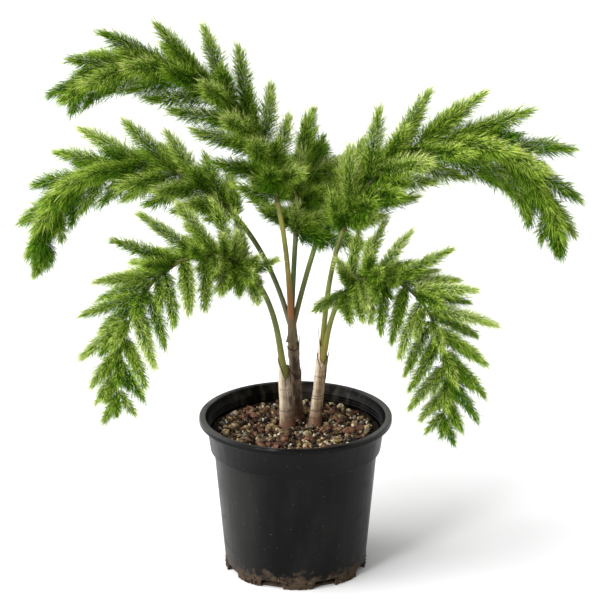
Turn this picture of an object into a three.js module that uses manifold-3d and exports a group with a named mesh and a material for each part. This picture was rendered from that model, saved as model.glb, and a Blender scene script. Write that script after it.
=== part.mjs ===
// A young foxtail palm in a nursery pot: three ringed stems standing in potting mix, the arching leaf stalks
// that they carry, and the bottlebrush fronds at the ends of those stalks.
// Millimetres and degrees, +Z up. The origin is the centre of the pot's flat underside, +X is to the
// viewer's right and +Y points away from the viewer.
import * as THREE from "three";
import { mergeVertices } from "three/addons/utils/BufferGeometryUtils.js";
import Module from "manifold-3d";

// Clearance between neighbouring pieces, and the distance within which vertices are one
const GAP = 0.3;
const MERGE = 1e-4;

// Moulded pot: a tapering body, a straighter band above a small step, and a rolled lip
const POT = {
  sides: 32,
  wall: 2.7,
  floor: 3,
  baseRadius: 101.5,
  bodyTop: { radius: 118.3, height: 180 },
  bandFoot: { radius: 123.6, height: 182 },
  bandTop: { radius: 129.4, height: 222 },
  lip: { radius: 140, opening: 130.4, underside: 223.2, edge: 1.5 },
  height: 232.4,
};

// Drain notches cut through the wall along its bottom edge
const NOTCH = { count: 8, width: 34, height: 11.5, corner: 5, depth: 16, azimuth: 250 };

// Potting mix, level with the foot of the stems, with chips of bark and stone lying half sunk in its top
const MIX = { top: 209, edge: 6, notchClear: 14 };
const CHIPS = { count: 22, size: [4.5, 9], shape: [1, 0.7, 0.5], tilt: 45, reach: 108, seed: 5 };

// Stems: foot and top of each axis, radii, leaf scars as heights above the mix, and torn leaf sheaths
const STEM_SIDES = 10;
const STEM_FLARE = { radius: 2.2, height: 7, rings: [0, 0.5, 1.2] };
const SCAR = { ridge: 0.6, half: 1.6 };
const SHEATH = { wall: 1.5, sunk: 1, flare: 1.2 };
const STEMS = {
  left: {
    foot: [-12.5, 17],
    top: [-16, 19],
    rise: 92,
    radii: [11.4, 9.6],
    scars: [14, 27, 46],
    sheaths: [{ from: 58, low: 72, high: 104, toward: 190 }],
  },
  middle: {
    foot: [3, 50],
    top: [-6, 46],
    rise: 159,
    radii: [9.4, 9.9],
    scars: [22, 50, 112],
    sheaths: [
      { from: 84, low: 92, high: 106, toward: 20 },
      { from: 116, low: 126, high: 146, toward: 340 },
    ],
  },
  right: {
    foot: [27.5, 20],
    top: [41, 27],
    rise: 121,
    radii: [10.2, 8.7],
    scars: [11, 22, 42, 54, 73],
    sheaths: [{ from: 94, low: 104, high: 128, toward: 165 }],
  },
};

// Leaves, one to a line of growth: where the stalk stands on its stem's top, the arch that stalk and rib
// follow, the bare length before the first plume, and the plumes with the longest one's length.
// The arch climbs at the angle rise, falls at the angle fall, and turns from one to the other at the share
// bend of its length, the more sharply the greater snap is.
const LEAVES = [
  {
    name: "left_low",
    stem: "left",
    stand: [0, 0],
    azimuth: 212,
    rise: 82,
    fall: -87,
    bend: 0.51,
    snap: 1.63,
    length: 530,
    bare: 158,
    stalk: 6.4,
    plumes: 25,
    plume: 102,
    seed: 11,
  },
  {
    name: "left_top",
    stem: "middle",
    stand: [-0.4, -5],
    azimuth: 188,
    rise: 87.5,
    fall: -38,
    bend: 0.72,
    snap: 1.35,
    length: 594,
    bare: 178,
    stalk: 4.3,
    plumes: 28,
    plume: 126,
    seed: 12,
  },
  {
    name: "left_mid",
    stem: "middle",
    stand: [-5.9, 2],
    azimuth: 158,
    rise: 72,
    fall: -84,
    bend: 0.58,
    snap: 1.2,
    length: 588,
    bare: 160,
    stalk: 3.5,
    plumes: 28,
    plume: 108,
    seed: 14,
  },
  {
    name: "back",
    stem: "middle",
    stand: [0.5, 5.7],
    azimuth: 80,
    rise: 76,
    fall: -65,
    bend: 0.52,
    snap: 2.2,
    length: 450,
    bare: 112,
    stalk: 3.3,
    plumes: 23,
    plume: 112,
    seed: 13,
  },
  {
    name: "back_right",
    stem: "middle",
    stand: [6.3, -0.2],
    azimuth: 55,
    rise: 64,
    fall: -10,
    bend: 0.7,
    snap: 1.6,
    length: 290,
    bare: 145,
    stalk: 3.5,
    plumes: 12,
    plume: 80,
    seed: 15,
  },
  {
    name: "right_top",
    stem: "right",
    stand: [-2.1, 3.7],
    azimuth: 6,
    rise: 86,
    fall: -75,
    bend: 0.61,
    snap: 1.56,
    length: 632,
    bare: 175,
    stalk: 4.2,
    plumes: 29,
    plume: 126,
    seed: 16,
  },
  {
    name: "right_low",
    stem: "right",
    stand: [2.1, -3.7],
    azimuth: -32,
    rise: 79,
    fall: -94,
    bend: 0.45,
    snap: 1.7,
    length: 428,
    bare: 92,
    stalk: 3.8,
    plumes: 22,
    plume: 108,
    seed: 17,
  },
];
// The short leaf whose frond is one piece, because it ends before it bends down
const UNBENT = ["back_right"];

// Stalks and ribs: both taper, and the stalk swells a little at its foot
const STALK = { sides: 7, end: 3.5, step: 26 };
const RIB = { sides: 3, foot: 3.8, tip: 1.7, step: 50 };

// Plumes stand in four ranks round the rib, raked towards its tip, and shorten towards both ends of it.
// Each is a slim three-sided core whose bands are drawn out into needle tufts.
const PLUME = {
  ranks: [90, 270, 0, 180],
  crowding: 1.2,
  turnScatter: 44,
  footLean: { middle: 54, under: 12, flank: 36 },
  tipLean: { middle: 28, under: 4 },
  leanFall: 1.5,
  leanScatter: 10,
  endShare: 0.34,
  peak: 0.7,
  fullness: 0.6,
  underShort: 0.24,
  lengthScatter: 0.16,
  clear: 6,
  sunk: 1.5,
  sweep: 0.08,
  bareFoot: 12,
  band: 38,
  core: [1, 0.01],
  coreEnd: 0.9,
  tuft: [4.5, 0.095],
  tuftSpan: [0.04, 0.84],
  tuftRake: 0.7,
};

const FINISH = {
  pot: { color: 0x242527, roughness: 0.55, metalness: 0 },
  mix: { color: 0x5d4634, roughness: 0.95, metalness: 0 },
  stem: { color: 0x968775, roughness: 0.85, metalness: 0 },
  stalk: { color: 0x76813a, roughness: 0.5, metalness: 0 },
  frond: { color: 0x4f7f27, roughness: 0.6, metalness: 0 },
};

const wasm = await Module();
wasm.setup();

const UP = new THREE.Vector3(0, 0, 1);
const radians = THREE.MathUtils.degToRad;
const mix = THREE.MathUtils.lerp;

// A run of numbers from 0 up to 1 that is the same every time for the same seed
function seededRandom(seed) {
  let state = seed;
  return () => {
    state = (Math.imul(state, 1664525) + 1013904223) >>> 0;
    return state / 2 ** 32;
  };
}

// A closed geometry as a solid, with shared vertices merged and faces of no area left out
function solidOf(geometry) {
  const bare = new THREE.BufferGeometry();
  bare.setAttribute("position", geometry.getAttribute("position"));
  bare.setIndex(geometry.index);
  const merged = mergeVertices(bare, MERGE);
  const corners = merged.index.array;
  const triVerts = [];
  for (let i = 0; i < corners.length; i += 3) {
    const [a, b, c] = corners.subarray(i, i + 3);
    if (a !== b && b !== c && c !== a) triVerts.push(a, b, c);
  }
  return new wasm.Manifold(
    new wasm.Mesh({
      numProp: 3,
      vertProperties: merged.getAttribute("position").array,
      triVerts: new Uint32Array(triVerts),
    }),
  );
}

function meshOf(name, solid, finish) {
  const { vertProperties, triVerts } = solid.getMesh();
  const geometry = new THREE.BufferGeometry();
  geometry.setAttribute("position", new THREE.BufferAttribute(vertProperties, 3));
  geometry.setIndex(new THREE.BufferAttribute(triVerts, 1));
  geometry.computeVertexNormals();
  const mesh = new THREE.Mesh(geometry, new THREE.MeshStandardMaterial(finish));
  mesh.name = name;
  return mesh;
}

// Several solids joined into one body, without scraps or sealed hollows
function joined(solids) {
  const bodies = wasm.Manifold.union(solids).decompose();
  return bodies.reduce((most, body) => (body.volume() > most.volume() ? body : most));
}

// A profile of [radius, height] pairs, turned about the Z axis
function turned(profile, sides) {
  const points = profile.map(([radius, height]) => new THREE.Vector2(radius, height));
  return new THREE.LatheGeometry(points, sides).rotateX(Math.PI / 2);
}

// The pot's outside, from the edge of its base up to the lip's underside
function potOutside() {
  const { baseRadius, bodyTop, bandFoot, bandTop, lip } = POT;
  return [
    [baseRadius, 0],
    [bodyTop.radius, bodyTop.height],
    [bandFoot.radius, bandFoot.height],
    [bandTop.radius, bandTop.height],
    [lip.radius - lip.edge, lip.underside],
  ];
}

// The radius of the pot's inside at a height on its body or band
function potInside(height) {
  const outside = potOutside();
  const next = outside.findIndex(([, top]) => top >= height && top > 0);
  const [r0, h0] = outside[next - 1];
  const [r1, h1] = outside[next];
  return mix(r0, r1, (height - h0) / (h1 - h0)) - POT.wall;
}

function potSolid() {
  const { wall, floor, lip, height } = POT;
  const outside = potOutside();
  const inside = outside.slice(1, 4).map(([radius, at]) => [radius - wall, at]);
  const profile = [
    [0, 0],
    ...outside,
    [lip.radius, lip.underside + lip.edge],
    [lip.radius, height - lip.edge],
    [lip.radius - lip.edge, height],
    [lip.opening + lip.edge, height],
    [lip.opening, height - lip.edge],
    ...inside.reverse(),
    [potInside(floor), floor],
    [0, floor],
  ];
  let pot = solidOf(turned(profile, POT.sides));
  for (let i = 0; i < NOTCH.count; i++) {
    pot = pot.subtract(notchSolid(NOTCH.azimuth + (i * 360) / NOTCH.count));
  }
  return pot;
}

// A round-cornered opening through the foot of the pot's wall
function notchSolid(azimuth) {
  const { width, height, corner, depth } = NOTCH;
  const half = width / 2;
  const outline = new THREE.Shape();
  outline.moveTo(-half, -height);
  outline.lineTo(half, -height);
  outline.lineTo(half, height - corner);
  outline.quadraticCurveTo(half, height, half - corner, height);
  outline.lineTo(corner - half, height);
  outline.quadraticCurveTo(-half, height, -half, height - corner);
  const geometry = new THREE.ExtrudeGeometry(outline, { depth, bevelEnabled: false, curveSegments: 2 });
  geometry.rotateX(Math.PI / 2);
  geometry.translate(0, depth / 2 - POT.baseRadius, 0);
  geometry.rotateZ(radians(azimuth + 90));
  return solidOf(geometry);
}

// The mix fills the pot 0.3 mm clear of its wall, and its bottom edge is cut away behind the notches
function mixSolid() {
  const { top, edge, notchClear } = MIX;
  const { bodyTop, bandFoot, floor } = POT;
  const bottom = floor + GAP;
  const wall = (height) => potInside(height) - GAP;
  const profile = [
    [0, bottom],
    [wall(notchClear) - notchClear, bottom],
    [wall(notchClear), notchClear],
    [wall(bodyTop.height), bodyTop.height],
    [wall(bandFoot.height), bandFoot.height],
    [wall(top - edge), top - edge],
    [wall(top - edge) - edge, top],
    [0, top],
  ];
  return joined([solidOf(turned(profile, POT.sides)), ...chipSolids()]);
}

// Chips lie on a sunflower spiral over the mix, and are left out where a stem stands
function chipSolids() {
  const { count, size: sizes, shape, tilt, reach: furthest, seed } = CHIPS;
  const random = seededRandom(seed);
  const goldenAngle = 137.508;
  const chips = [];
  for (let i = 0; i < count; i++) {
    const reach = furthest * Math.sqrt((i + 0.5) / count);
    const angle = radians(i * goldenAngle);
    const place = new THREE.Vector3(reach * Math.cos(angle), reach * Math.sin(angle), MIX.top);
    const size = mix(...sizes, random());
    const [turn, pitch, roll] = [180, tilt, tilt].map((range) => radians(range * random()));
    const clear = Object.values(STEMS).every(({ foot, radii }) => {
      const reachOfFoot = radii[0] + STEM_FLARE.radius + size + GAP;
      return Math.hypot(place.x - foot[0], place.y - foot[1]) > reachOfFoot;
    });
    if (!clear) continue;
    const chip = new THREE.OctahedronGeometry(size);
    chip.scale(...shape);
    chip.rotateZ(turn).rotateX(pitch).rotateY(roll);
    chip.translate(place.x, place.y, place.z);
    chips.push(solidOf(chip));
  }
  return chips;
}

// The middle of a stem at a height above the mix, and its radius there without the leaf scars
function stemAxis(stem, height) {
  const share = height / stem.rise;
  const x = mix(stem.foot[0], stem.top[0], share);
  const y = mix(stem.foot[1], stem.top[1], share);
  return new THREE.Vector3(x, y, MIX.top + GAP + height);
}

function stemRadius(stem, height) {
  const flare = STEM_FLARE.radius * Math.exp(-height / STEM_FLARE.height);
  return mix(...stem.radii, height / stem.rise) + flare;
}

// A turned piece set upright along a leaning stem, with each of its rings kept level
function leaned(profile, stem) {
  const geometry = turned(profile, STEM_SIDES);
  const position = geometry.getAttribute("position");
  for (let i = 0; i < position.count; i++) {
    const middle = stemAxis(stem, position.getZ(i));
    position.setXYZ(i, position.getX(i) + middle.x, position.getY(i) + middle.y, middle.z);
  }
  return solidOf(geometry);
}

function stemSolid(stem) {
  const flareRings = STEM_FLARE.rings.map((share) => share * STEM_FLARE.height);
  const rings = [...flareRings, stem.rise].map((at) => [stemRadius(stem, at), at]);
  for (const scar of stem.scars) {
    rings.push([stemRadius(stem, scar - SCAR.half), scar - SCAR.half]);
    rings.push([stemRadius(stem, scar) + SCAR.ridge, scar]);
    rings.push([stemRadius(stem, scar + SCAR.half), scar + SCAR.half]);
  }
  rings.sort((a, b) => a[1] - b[1]);
  const shaft = leaned([[0, 0], ...rings, [0, stem.rise]], stem);
  return joined([shaft, ...stem.sheaths.map((sheath) => sheathSolid(stem, sheath))]);
}

// The torn foot of an old leaf: a collar round the stem, cut on the slant to one long point
function sheathSolid(stem, { from, low, high, toward }) {
  const inner = stemRadius(stem, from) - SHEATH.sunk;
  const outer = stemRadius(stem, from) + SHEATH.wall;
  const collar = leaned(
    [
      [inner, from],
      [outer, from],
      [outer + SHEATH.flare, high],
      [outer + SHEATH.flare - SHEATH.wall, high],
      [inner, from],
    ],
    stem,
  );
  const width = 2 * (outer + SHEATH.flare);
  const size = 4 * width;
  const slope = Math.atan2(high - low, width);
  const middle = stemAxis(stem, (low + high) / 2);
  const cut = new THREE.BoxGeometry(size, size, size);
  cut.translate(0, 0, size / 2);
  cut.rotateY(-slope).rotateZ(radians(toward));
  cut.translate(middle.x, middle.y, middle.z);
  return collar.subtract(solidOf(cut));
}

// The line that a leaf's stalk and rib follow, in one upright plane
class LeafArch extends THREE.Curve {
  static STEPS = 240;

  constructor(leaf) {
    super();
    this.leaf = leaf;
    const azimuth = radians(leaf.azimuth);
    this.outward = new THREE.Vector3(Math.cos(azimuth), Math.sin(azimuth), 0);
    const stem = STEMS[leaf.stem];
    const foot = stemAxis(stem, stem.rise);
    foot.x += leaf.stand[0];
    foot.y += leaf.stand[1];
    foot.z += GAP + leaf.stalk * Math.cos(radians(leaf.rise));
    this.points = [foot];
    for (let i = 0; i < LeafArch.STEPS; i++) {
      const along = this.tangentAt((leaf.length * (i + 0.5)) / LeafArch.STEPS);
      this.points.push(this.points[i].clone().addScaledVector(along, leaf.length / LeafArch.STEPS));
    }
  }

  // The angle of climb at a distance along the leaf
  heading(distance) {
    const { rise, fall, bend, snap, length } = this.leaf;
    const share = THREE.MathUtils.clamp(distance / length, 1e-6, 1 - 1e-6);
    const before = ((1 - share) / share) * (bend / (1 - bend));
    return radians(rise + (fall - rise) / (1 + before ** snap));
  }

  tangentAt(distance) {
    const angle = this.heading(distance);
    return this.outward.clone().multiplyScalar(Math.cos(angle)).addScaledVector(UP, Math.sin(angle));
  }

  getPoint(share, target = new THREE.Vector3()) {
    const at = THREE.MathUtils.clamp(share, 0, 1) * LeafArch.STEPS;
    const step = Math.min(Math.floor(at), LeafArch.STEPS - 1);
    return target.lerpVectors(this.points[step], this.points[step + 1], at - step);
  }

  // Place, run, upper side and flank of the leaf at a distance along it
  frame(distance) {
    const place = this.getPoint(distance / this.leaf.length);
    const run = this.tangentAt(distance);
    const flank = new THREE.Vector3().crossVectors(this.outward, UP);
    const over = new THREE.Vector3().crossVectors(flank, run);
    return { place, run, over, flank };
  }
}

// A tapering limb along part of an arch, with flat ends
function limbSolid(arch, from, to, radiusAt, { sides, step }) {
  const steps = Math.max(2, Math.round((to - from) / step));
  const rings = [];
  for (let i = 0; i <= steps; i++) {
    const distance = mix(from, to, i / steps);
    rings.push(new THREE.Vector2(radiusAt(distance), distance));
  }
  const profile = [new THREE.Vector2(0, from), ...rings, new THREE.Vector2(0, to)];
  const geometry = new THREE.LatheGeometry(profile, sides);
  const position = geometry.getAttribute("position");
  for (let i = 0; i < position.count; i++) {
    const { place, over, flank } = arch.frame(position.getY(i));
    place.addScaledVector(flank, position.getX(i)).addScaledVector(over, position.getZ(i));
    position.setXYZ(i, place.x, place.y, place.z);
  }
  return solidOf(geometry);
}

function stalkSolid(leaf, arch) {
  const radiusAt = (distance) => mix(leaf.stalk, STALK.end, Math.sqrt(distance / leaf.bare));
  return limbSolid(arch, 0, leaf.bare - GAP / 2, radiusAt, STALK);
}

function ribSolid(leaf, arch, from, to) {
  const radiusAt = (distance) => {
    const share = (distance - leaf.bare) / (leaf.length - leaf.bare);
    return mix(RIB.foot, RIB.tip, share);
  };
  return limbSolid(arch, from, to, radiusAt, RIB);
}

// Every plume of a leaf, from its stalk out to the one that ends it
function plumesOf(leaf, arch) {
  const { footLean, tipLean } = PLUME;
  const random = seededRandom(leaf.seed);
  const run = leaf.length - leaf.bare;
  const plumes = [];
  for (let i = 0; i <= leaf.plumes; i++) {
    const last = i === leaf.plumes;
    const share = last ? 1 : ((i + 0.5) / leaf.plumes) ** PLUME.crowding;
    const turn = radians(PLUME.ranks[i % PLUME.ranks.length] + (random() - 0.5) * PLUME.turnScatter);
    const upper = Math.sin(turn);
    const foot = footLean.middle - footLean.under * upper + footLean.flank * (1 - upper ** 2);
    const tip = tipLean.middle - tipLean.under * upper;
    const lean = mix(tip, foot, (1 - share) ** PLUME.leanFall) + (random() - 0.5) * PLUME.leanScatter;
    const swell = Math.sin(Math.PI * share ** PLUME.peak) ** PLUME.fullness;
    const under = 1 - PLUME.underShort * Math.max(0, -upper);
    const scatter = 1 + (random() - 0.5) * PLUME.lengthScatter;
    const length = leaf.plume * mix(PLUME.endShare, 1, swell) * under * scatter;
    plumes.push({ distance: leaf.bare + run * share, turn, lean: last ? 0 : radians(lean), length });
  }
  return plumes;
}

// A plume's core, from its root inside the rib: rings of three corners, each turned half a side against the
// last, with a tuft drawn out of each of the triangles between them
function plumeSolid(arch, distance, { turn, lean, length }) {
  const { place, run, over, flank } = arch.frame(distance);
  const outward = flank.multiplyScalar(Math.cos(turn)).addScaledVector(over, Math.sin(turn));
  const across = new THREE.Vector3().crossVectors(run, outward);
  const axis = run.multiplyScalar(Math.cos(lean)).addScaledVector(outward, Math.sin(lean));
  const back = new THREE.Vector3().crossVectors(across, axis);
  const sides = 3;
  const start = Math.min(PLUME.bareFoot / length, PLUME.coreEnd / 2);
  const bands = Math.max(1, Math.round((length * (PLUME.coreEnd - start)) / PLUME.band));
  const thickness = PLUME.core[0] + PLUME.core[1] * length;
  const longest = PLUME.tuft[0] + PLUME.tuft[1] * length;

  // A point by its share of the length, its angle round the core and its distance out
  const point = (share, angle, out) => {
    const at = place.clone().addScaledVector(axis, share * (length + PLUME.sunk) - PLUME.sunk);
    at.addScaledVector(back, -PLUME.sweep * length * share ** 2 + out * Math.cos(angle));
    return at.addScaledVector(across, out * Math.sin(angle));
  };
  const angleOf = (band, side) => ((band + 2 * side) * Math.PI) / sides;
  const shareOf = (band) => mix(start, PLUME.coreEnd, band / bands);
  const coreAt = (share) => thickness * (1 - share / 2);

  const corners = [];
  const addRing = (share, band) => {
    for (let side = 0; side < sides; side++) corners.push(point(share, angleOf(band, side), coreAt(share)));
  };
  addRing(0, 0);
  for (let band = 0; band <= bands; band++) addRing(shareOf(band), band);
  const faces = [0, 2, 1];
  const addFan = (ring, tip) => {
    corners.push(tip);
    const apex = corners.length - 1;
    ring.forEach((corner, i) => faces.push(corner, ring[(i + 1) % ring.length], apex));
  };
  const addTuft = (ring, band, side) => {
    const share = shareOf(band);
    const reach = longest * Math.sin(Math.PI * mix(...PLUME.tuftSpan, share));
    const raked = share + (PLUME.tuftRake * reach) / length;
    addFan(ring, point(raked, angleOf(0, side), coreAt(share) + reach));
  };
  for (let side = 0; side < sides; side++) {
    const next = (side + 1) % sides;
    faces.push(side, next, sides + next, side, sides + next, sides + side);
    for (let band = 0; band < bands; band++) {
      const [low, high] = [(band + 1) * sides, (band + 2) * sides];
      const corner = side + band / 2;
      addTuft([low + side, low + next, high + side], band + 1 / 3, corner + 1 / 2);
      addTuft([high + side, low + next, high + next], band + 2 / 3, corner + 1);
    }
  }
  const end = (bands + 1) * sides;
  addFan([end, end + 1, end + 2], point(1, 0, 0));

  const geometry = new THREE.BufferGeometry().setFromPoints(corners);
  geometry.setIndex(faces);
  return solidOf(geometry);
}

// A frond, split where it bends round the open space under it. A plume that would reach into a neighbour is
// left out.
function frondSolids(leaf, arch, neighbours) {
  const start = leaf.bare + GAP / 2;
  const bend = leaf.bend * leaf.length;
  const spans = UNBENT.includes(leaf.name)
    ? [["", start, leaf.length]]
    : [
        ["_inner", start, bend - GAP / 2],
        ["_outer", bend + GAP / 2, leaf.length],
      ];
  const ribs = spans.map(([, from, to]) => ribSolid(leaf, arch, from, to));
  const taken = [...neighbours, ...ribs];
  const plumes = plumesOf(leaf, arch);
  return spans.map(([end, from, to], i) => {
    const pieces = [ribs[i]];
    const others = taken.filter((solid) => solid !== ribs[i]);
    for (const plume of plumes) {
      const here = plume.distance > from - GAP && plume.distance < to + GAP;
      if (!here) continue;
      const root = THREE.MathUtils.clamp(plume.distance, from + PLUME.clear, to - PLUME.clear);
      const solid = plumeSolid(arch, root, plume);
      if (others.every((other) => solid.intersect(other).isEmpty())) pieces.push(solid);
    }
    const frond = joined(pieces);
    taken.push(frond);
    return [`frond_${leaf.name}${end}`, frond];
  });
}

const palm = new THREE.Group();
const potted = new THREE.Group();
const growth = new THREE.Group();
palm.add(potted, growth);

const solids = new Map();
const place = (group, name, solid, finish) => {
  solids.set(name, solid);
  group.add(meshOf(name, solid, finish));
};

place(potted, "pot", potSolid(), FINISH.pot);
place(potted, "potting_mix", mixSolid(), FINISH.mix);
for (const [side, stem] of Object.entries(STEMS)) {
  place(growth, `stem_${side}`, stemSolid(stem), FINISH.stem);
}
const arches = new Map(LEAVES.map((leaf) => [leaf, new LeafArch(leaf)]));
for (const [leaf, arch] of arches) {
  place(growth, `petiole_${leaf.name}`, stalkSolid(leaf, arch), FINISH.stalk);
}
for (const [leaf, arch] of arches) {
  for (const [name, solid] of frondSolids(leaf, arch, [...solids.values()])) {
    place(growth, name, solid, FINISH.frond);
  }
}

export default palm;
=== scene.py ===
"""A young foxtail palm in a nursery pot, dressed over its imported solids."""
import math

import bmesh
import bpy
import numpy as np
from mathutils import Matrix, Vector, noise


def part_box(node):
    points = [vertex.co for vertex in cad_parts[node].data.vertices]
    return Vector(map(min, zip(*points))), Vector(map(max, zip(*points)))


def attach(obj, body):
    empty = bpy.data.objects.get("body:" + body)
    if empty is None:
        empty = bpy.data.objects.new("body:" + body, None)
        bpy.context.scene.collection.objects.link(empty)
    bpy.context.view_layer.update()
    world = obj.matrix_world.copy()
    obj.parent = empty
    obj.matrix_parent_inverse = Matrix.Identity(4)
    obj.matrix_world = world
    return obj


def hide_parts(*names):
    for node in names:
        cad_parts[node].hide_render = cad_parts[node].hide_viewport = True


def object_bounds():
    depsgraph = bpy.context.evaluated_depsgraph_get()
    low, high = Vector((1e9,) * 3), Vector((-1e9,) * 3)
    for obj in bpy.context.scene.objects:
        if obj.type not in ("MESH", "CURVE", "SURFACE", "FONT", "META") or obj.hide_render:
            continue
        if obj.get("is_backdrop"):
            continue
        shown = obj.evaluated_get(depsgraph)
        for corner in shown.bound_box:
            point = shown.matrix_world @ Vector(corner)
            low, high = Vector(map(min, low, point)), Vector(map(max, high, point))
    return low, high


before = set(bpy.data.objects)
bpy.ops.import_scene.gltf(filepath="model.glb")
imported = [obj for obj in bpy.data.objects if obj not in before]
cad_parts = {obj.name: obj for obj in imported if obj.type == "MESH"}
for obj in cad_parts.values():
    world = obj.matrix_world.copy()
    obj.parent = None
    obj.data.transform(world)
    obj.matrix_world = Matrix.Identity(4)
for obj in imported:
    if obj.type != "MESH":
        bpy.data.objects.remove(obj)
cad_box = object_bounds()


# Pot: a thin nursery can moulded in one piece from black plastic, with a tapering body, a straighter band
# above a small step, a rolled lip and drain notches through the foot of its wall. It stands on its flat
# underside. A painted highlight makes its left side paler, as if lit from that side, painted shade keeps the
# band under the lip darker, and the lip's top is paler at its left and right from scuffs and a painted
# highlight. Use has left dust, scuffs, splashes and damp soil on it.
MM = 0.001
POT_STEPS = 160
POT_WALL = 2.7
POT_FLOOR = 3
POT_BASE = 101.5
POT_HEIGHT = 232.4
BASE_CORNER = 1.6
BODY_RINGS = (14, 20, 40, 70, 100, 130, 160, 177.5)
BODY_TOP = (118.3, 180)
BAND_FOOT = (123.6, 182)
BAND_TOP = (129.4, 222)
BAND_CORNER = 1.8
BAND_CORNER_RISE = 1.4
LIP_FILLET = (0.7, 0.9)
LIP_RADIUS = 140
LIP_OPENING = 130.4
LIP_UNDERSIDE = 223.2
LIP_CORNER = 2.2
CORNER_STEPS = 5
MIX_TOP = 209
INSIDE_RIDGES = (211.5, 215.5, 219.5)
RIDGE_SIZE = 0.9
NOTCH_COUNT = 8
NOTCH_SIZE = (16, 34, 23)
NOTCH_CORNER = 5
NOTCH_AZIMUTH = 250
POT_BLACK = (3, 3, 3)
POT_DUST = (21, 21, 20)
# paler grey of the painted highlight on the pot's lit left side
POT_LIT_SIDE = (44, 44, 43)
POT_SPLASH = (98, 90, 80)
# grey of real scuffs on the lip and of a painted highlight along its top
POT_SCUFF_AND_HIGHLIGHT = (92, 92, 89)
POT_SPECK = (112, 106, 96)
POT_SOIL = ((30, 24, 18), (100, 83, 66))
POT_MARKS = (
    # dust, runs, specks and scuffs: size in millimetres, detail, stretch along each axis, and the noise
    # where such a mark begins and where it is full
    (55, 5.0, (1, 1, 2.2), 0.42, 0.72),
    (9, 3.0, (1, 1, 9), 0.4, 0.75),
    (3.2, 1.0, (1, 1, 1), 0.755, 0.8),
    (16, 4.0, (3, 3, 1), 0.56, 0.7),
)


def mixed(low, high, share):
    return low + (high - low) * share


def arc(centre, radius, start, end, steps=CORNER_STEPS):
    """Points of a profile on an arc, by angles in degrees."""
    angles = np.radians(np.linspace(start, end, steps + 1))
    return [(centre[0] + radius * math.cos(a), centre[1] + radius * math.sin(a)) for a in angles]


def turned(profile, steps):
    """A profile of (radius, height) points, spun about the Z axis."""
    bm = bmesh.new()
    corners = [bm.verts.new((radius, 0, height)) for radius, height in profile]
    edges = [bm.edges.new(pair) for pair in zip(corners, corners[1:])]
    bmesh.ops.spin(
        bm, geom=corners + edges, axis=(0, 0, 1), cent=(0, 0, 0), angle=math.tau, steps=steps, use_merge=True
    )
    bmesh.ops.remove_doubles(bm, verts=bm.verts, dist=1e-4)
    bmesh.ops.recalc_face_normals(bm, faces=bm.faces)
    return bm


def pot_wall_outside(height):
    """The radius of the pot's tapering body at a height."""
    return mixed(POT_BASE, BODY_TOP[0], height / BODY_TOP[1])


def pot_wall_inside(height):
    """The radius of the pot's inside at a height on its body or band."""
    radii, heights = zip((POT_BASE, 0), BODY_TOP, BAND_FOOT, BAND_TOP)
    return np.interp(height, heights, radii) - POT_WALL


def pot_profile():
    outer, inner = LIP_RADIUS - LIP_CORNER, LIP_OPENING + LIP_CORNER
    profile = [(0, 0)]
    profile += arc((POT_BASE - BASE_CORNER, BASE_CORNER), BASE_CORNER, -90, -5, CORNER_STEPS - 1)
    profile += [(pot_wall_outside(height), height) for height in BODY_RINGS]
    profile.append(BODY_TOP)
    profile += arc((BAND_FOOT[0] - BAND_CORNER, BAND_FOOT[1] + BAND_CORNER_RISE), BAND_CORNER, -100, -8)
    profile += [BAND_TOP, (BAND_TOP[0] + LIP_FILLET[0], BAND_TOP[1] + LIP_FILLET[1])]
    profile += arc((outer, LIP_UNDERSIDE + LIP_CORNER), LIP_CORNER, -90, 0)
    profile += arc((outer, POT_HEIGHT - LIP_CORNER), LIP_CORNER, 4, 90)
    profile += arc((inner, POT_HEIGHT - LIP_CORNER), LIP_CORNER, 94, 180)
    for ridge in sorted(INSIDE_RIDGES, reverse=True):
        for rise, inward in ((RIDGE_SIZE, 0), (0, RIDGE_SIZE), (-RIDGE_SIZE, 0)):
            profile.append((pot_wall_inside(ridge + rise) - inward, ridge + rise))
    for height in (BAND_FOOT[1], BODY_TOP[1], POT_FLOOR):
        profile.append((pot_wall_inside(height), height))
    return profile + [(0, POT_FLOOR)]


def corners_among(parts):
    return [part for part in parts if isinstance(part, bmesh.types.BMVert)]


def notch_cutters():
    """A block with two rounded upper corners at each drain notch."""
    bm = bmesh.new()
    block = bmesh.ops.create_cube(bm, size=1)["verts"]
    bmesh.ops.scale(bm, vec=NOTCH_SIZE, verts=block)
    upper = [e for e in bm.edges if all(v.co.z > 0 for v in e.verts) and e.verts[0].co.y == e.verts[1].co.y]
    bmesh.ops.bevel(
        bm, geom=upper, offset=NOTCH_CORNER, segments=5, profile=0.5, affect="EDGES", material=-1
    )
    bmesh.ops.translate(bm, vec=(POT_BASE, 0, 0), verts=bm.verts)
    first = bm.verts[:] + bm.edges[:] + bm.faces[:]
    for turn in range(NOTCH_COUNT):
        made = bmesh.ops.duplicate(bm, geom=first)["geom"]
        azimuth = math.radians(NOTCH_AZIMUTH) + turn * math.tau / NOTCH_COUNT
        about = Matrix.Rotation(azimuth, 3, "Z")
        bmesh.ops.rotate(bm, cent=(0, 0, 0), matrix=about, verts=corners_among(made))
    bmesh.ops.delete(bm, geom=corners_among(first), context="VERTS")
    bmesh.ops.recalc_face_normals(bm, faces=bm.faces)
    return bm


def placed(name, data):
    """An object linked into the scene."""
    made = bpy.data.objects.new(name, data)
    bpy.context.scene.collection.objects.link(made)
    return made


def piece(name, bm, finish, sharp=40):
    """An object in metres from a bmesh in millimetres, smooth but for edges sharper than an angle."""
    bmesh.ops.scale(bm, vec=(MM, MM, MM), verts=bm.verts)
    mesh = bpy.data.meshes.new(name)
    bm.to_mesh(mesh)
    bm.free()
    mesh.shade_smooth()
    mesh.set_sharp_from_angle(angle=math.radians(sharp))
    mesh.materials.append(finish.material)
    return placed(name, mesh)


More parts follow.
